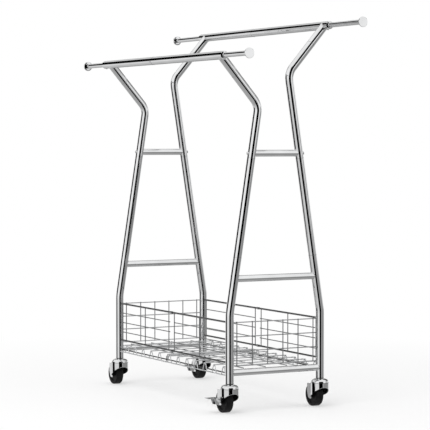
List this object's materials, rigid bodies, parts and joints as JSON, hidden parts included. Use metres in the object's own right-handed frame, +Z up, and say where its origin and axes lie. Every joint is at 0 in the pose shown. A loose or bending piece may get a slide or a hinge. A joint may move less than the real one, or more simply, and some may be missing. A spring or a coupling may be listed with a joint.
{
  "type": "rolling clothes rack",
  "caption": "Chrome rolling clothes rack with two hanging rails at different heights, pull-out rail ends, a wire basket shelf and swivel casters.",
  "frame": {"origin": "on the floor, midway between the four legs", "axes": "+X along the hanging rails towards the end with the low side's braked caster, +Y from the low rail to the high rail, +Z up"},
  "size_m": [1.51, 0.5098, 1.4791],
  "materials": {
    "chrome_tube": "polished",
    "chrome_wire": "polished",
    "pressed_steel": "polished",
    "bright_steel": "zinc plated",
    "wheel_rubber": "matte",
    "black_plastic": "matte"
  },
  "bodies": {
    "frame": {"lower_leg_low_far": "chrome_tube", "middle_leg_low_far": "chrome_tube", "upper_leg_low_far": "chrome_tube", "rail_low_far": "chrome_tube", "basket_side_low_far": "chrome_wire", "lower_leg_high_far": "chrome_tube", "middle_leg_high_far": "chrome_tube", "upper_leg_high_far": "chrome_tube", "rail_high_far": "chrome_tube", "basket_side_high_far": "chrome_wire", "upper_crossbar_far": "chrome_tube", "lower_crossbar_far": "chrome_tube", "bottom_bar_far": "chrome_tube", "basket_end_far": "chrome_wire", "shelf_far": "chrome_wire", "lower_leg_low_near": "chrome_tube", "middle_leg_low_near": "chrome_tube", "upper_leg_low_near": "chrome_tube", "rail_low_near": "chrome_tube", "basket_side_low_near": "chrome_wire", "lower_leg_high_near": "chrome_tube", "middle_leg_high_near": "chrome_tube", "upper_leg_high_near": "chrome_tube", "rail_high_near": "chrome_tube", "basket_side_high_near": "chrome_wire", "upper_crossbar_near": "chrome_tube", "lower_crossbar_near": "chrome_tube", "bottom_bar_near": "chrome_tube", "basket_end_near": "chrome_wire", "shelf_near": "chrome_wire", "crossbar_bolts": "bright_steel", "rail_splice_sleeves": "bright_steel", "rail_splice_rivets": "bright_steel", "rail_bushings": "bright_steel", "bushing_screws": "bright_steel", "basket_sleeves": "chrome_wire", "caster_sockets": "black_plastic"},
    "extension_low_far": {"extension_rod_low_far": "chrome_tube", "end_cap_low_far": "chrome_tube"},
    "caster_low_far": {"caster_fork_low_far": "pressed_steel", "caster_axle_low_far": "bright_steel"},
    "wheel_low_far": {"caster_wheel_low_far": "wheel_rubber"},
    "extension_high_far": {"extension_rod_high_far": "chrome_tube", "end_cap_high_far": "chrome_tube"},
    "caster_high_far": {"caster_fork_high_far": "pressed_steel", "caster_axle_high_far": "bright_steel"},
    "wheel_high_far": {"caster_wheel_high_far": "wheel_rubber"},
    "brake_high_far": {"brake_pedal_high_far": "bright_steel"},
    "extension_low_near": {"extension_rod_low_near": "chrome_tube", "end_cap_low_near": "chrome_tube"},
    "caster_low_near": {"caster_fork_low_near": "pressed_steel", "caster_axle_low_near": "bright_steel"},
    "wheel_low_near": {"caster_wheel_low_near": "wheel_rubber"},
    "brake_low_near": {"brake_pedal_low_near": "bright_steel"},
    "extension_high_near": {"extension_rod_high_near": "chrome_tube", "end_cap_high_near": "chrome_tube"},
    "caster_high_near": {"caster_fork_high_near": "pressed_steel", "caster_axle_high_near": "bright_steel"},
    "wheel_high_near": {"caster_wheel_high_near": "wheel_rubber"}
  },
  "joints": [
    {"name": "extension_slide_low_far", "type": "slide", "parent": "frame", "child": "extension_low_far", "axis": [-1, 0, 0], "range_m": [-0.17, 0.097]},
    {"name": "caster_swivel_low_far", "type": "hinge", "parent": "frame", "child": "caster_low_far", "pos_m": [-0.48, -0.197, 0.11], "axis": [0, 0, 1], "continuous": true},
    {"name": "wheel_spin_low_far", "type": "hinge", "parent": "caster_low_far", "child": "wheel_low_far", "pos_m": [-0.519, -0.197, 0.044], "axis": [0, 1, 0], "continuous": true},
    {"name": "extension_slide_high_far", "type": "slide", "parent": "frame", "child": "extension_high_far", "axis": [-1, 0, 0], "range_m": [-0.224, 0.043]},
    {"name": "caster_swivel_high_far", "type": "hinge", "parent": "frame", "child": "caster_high_far", "pos_m": [-0.48, 0.197, 0.11], "axis": [0, 0, 1], "continuous": true},
    {"name": "wheel_spin_high_far", "type": "hinge", "parent": "caster_high_far", "child": "wheel_high_far", "pos_m": [-0.519, 0.197, 0.044], "axis": [0, 1, 0], "continuous": true},
    {"name": "brake_pedal_hinge_high_far", "type": "hinge", "parent": "caster_high_far", "child": "brake_high_far", "pos_m": [-0.519, 0.167, 0.052], "axis": [1, 0, 0], "range_deg": [0, 18]},
    {"name": "extension_slide_low_near", "type": "slide", "parent": "frame", "child": "extension_low_near", "axis": [1, 0, 0], "range_m": [-0.182, 0.085]},
    {"name": "caster_swivel_low_near", "type": "hinge", "parent": "frame", "child": "caster_low_near", "pos_m": [0.48, -0.197, 0.11], "axis": [0, 0, 1], "continuous": true},
    {"name": "wheel_spin_low_near", "type": "hinge", "parent": "caster_low_near", "child": "wheel_low_near", "pos_m": [0.441, -0.197, 0.044], "axis": [0, 1, 0], "continuous": true},
    {"name": "brake_pedal_hinge_low_near", "type": "hinge", "parent": "caster_low_near", "child": "brake_low_near", "pos_m": [0.441, -0.227, 0.052], "axis": [1, 0, 0], "range_deg": [0, 18]},
    {"name": "extension_slide_high_near", "type": "slide", "parent": "frame", "child": "extension_high_near", "axis": [1, 0, 0], "range_m": [-0.226, 0.041]},
    {"name": "caster_swivel_high_near", "type": "hinge", "parent": "frame", "child": "caster_high_near", "pos_m": [0.48, 0.197, 0.11], "axis": [0, 0, 1], "continuous": true},
    {"name": "wheel_spin_high_near", "type": "hinge", "parent": "caster_high_near", "child": "wheel_high_near", "pos_m": [0.441, 0.197, 0.044], "axis": [0, 1, 0], "continuous": true}
  ]
}
